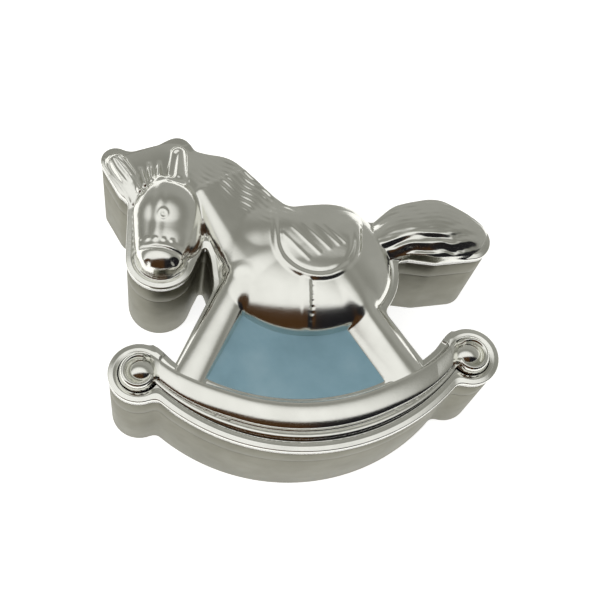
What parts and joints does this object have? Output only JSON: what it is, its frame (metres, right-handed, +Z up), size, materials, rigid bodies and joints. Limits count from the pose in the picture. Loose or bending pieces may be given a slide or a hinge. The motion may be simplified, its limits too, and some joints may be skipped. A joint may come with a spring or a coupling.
{
  "type": "rocking horse keepsake box",
  "caption": "Small silver-plated cast keepsake box in the outline of a rocking horse, with a lift-off relief lid, a blue enamel panel and velvet linings.",
  "frame": {"origin": "on the flat underside, midway between the two rocker scrolls and level with their centres", "axes": "+X along the rocker from the head end to the tail end, +Y from the rocker towards the ears, +Z up through the lid"},
  "size_m": [0.0663, 0.0576, 0.0257],
  "materials": {
    "plated_wall": "satin silver plate on cast zinc",
    "plated_relief": "polished silver plate on cast zinc",
    "blue_enamel": "glossy cold enamel, bare",
    "lining_card": "plain grey board",
    "blue_velvet": "short-pile velvet",
    "grey_felt": "felted wool"
  },
  "bodies": {
    "base": {"base_casting": "plated_wall", "floor_card": "lining_card", "floor_velvet": "blue_velvet", "wall_card": "lining_card", "wall_velvet": "blue_velvet", "underside_felt": "grey_felt"},
    "lid": {"lid_casting": "plated_relief", "enamel_panel": "blue_enamel", "lid_card": "lining_card", "lid_velvet": "blue_velvet"}
  },
  "joints": [
    {"name": "lid_lift", "type": "slide", "parent": "base", "child": "lid", "axis": [0, 0, 1], "range_m": [0, 0.04]}
  ]
}
